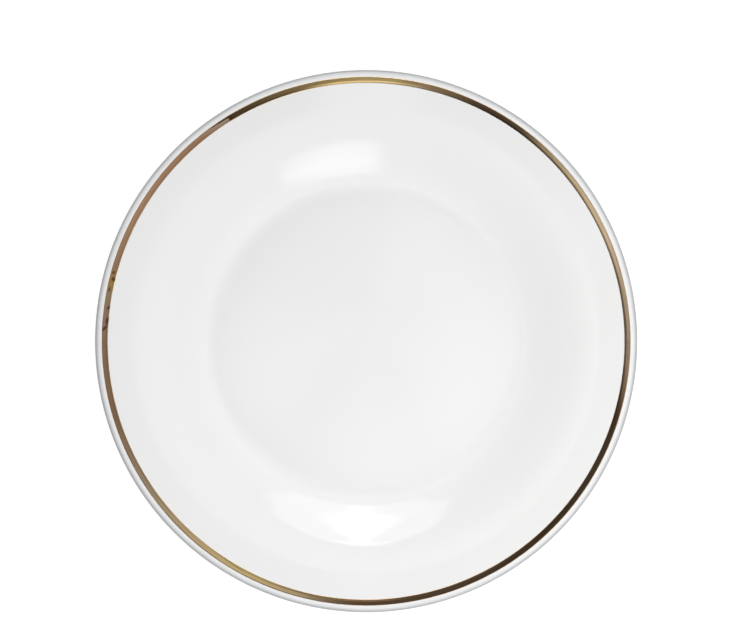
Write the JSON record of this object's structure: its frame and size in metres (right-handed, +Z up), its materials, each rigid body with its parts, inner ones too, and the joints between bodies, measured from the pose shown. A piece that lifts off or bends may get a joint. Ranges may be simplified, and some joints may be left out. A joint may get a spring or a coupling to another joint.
{
  "type": "porcelain serving bowl",
  "caption": "Shallow round rimmed serving bowl of glazed white porcelain, with a flat well, an S-curved wall, a rounded lip, a gilt line round the rim and a bare foot ring.",
  "frame": {"origin": "centre of the foot ring's resting face, on the bowl's axis", "axes": "+Z up along the bowl's axis, out of its mouth; X and Y lie in the table's plane, and the gold line's lap is near -X, +Y"},
  "size_m": [0.28, 0.28, 0.0423],
  "materials": {
    "bisque_porcelain": "unglazed vitrified porcelain, fine matte, lightly greyed where it stands",
    "white_glaze": "clear glossy glaze over neutral white porcelain",
    "gold": "fired bright gold, mirror-like, thin and pinkish brown where the brush ran dry"
  },
  "bodies": {
    "root": {"porcelain_body": "bisque_porcelain", "glaze_coat": "white_glaze", "base_glaze": "white_glaze", "gold_line": "gold", "gold_lap": "gold"}
  },
  "joints": []
}
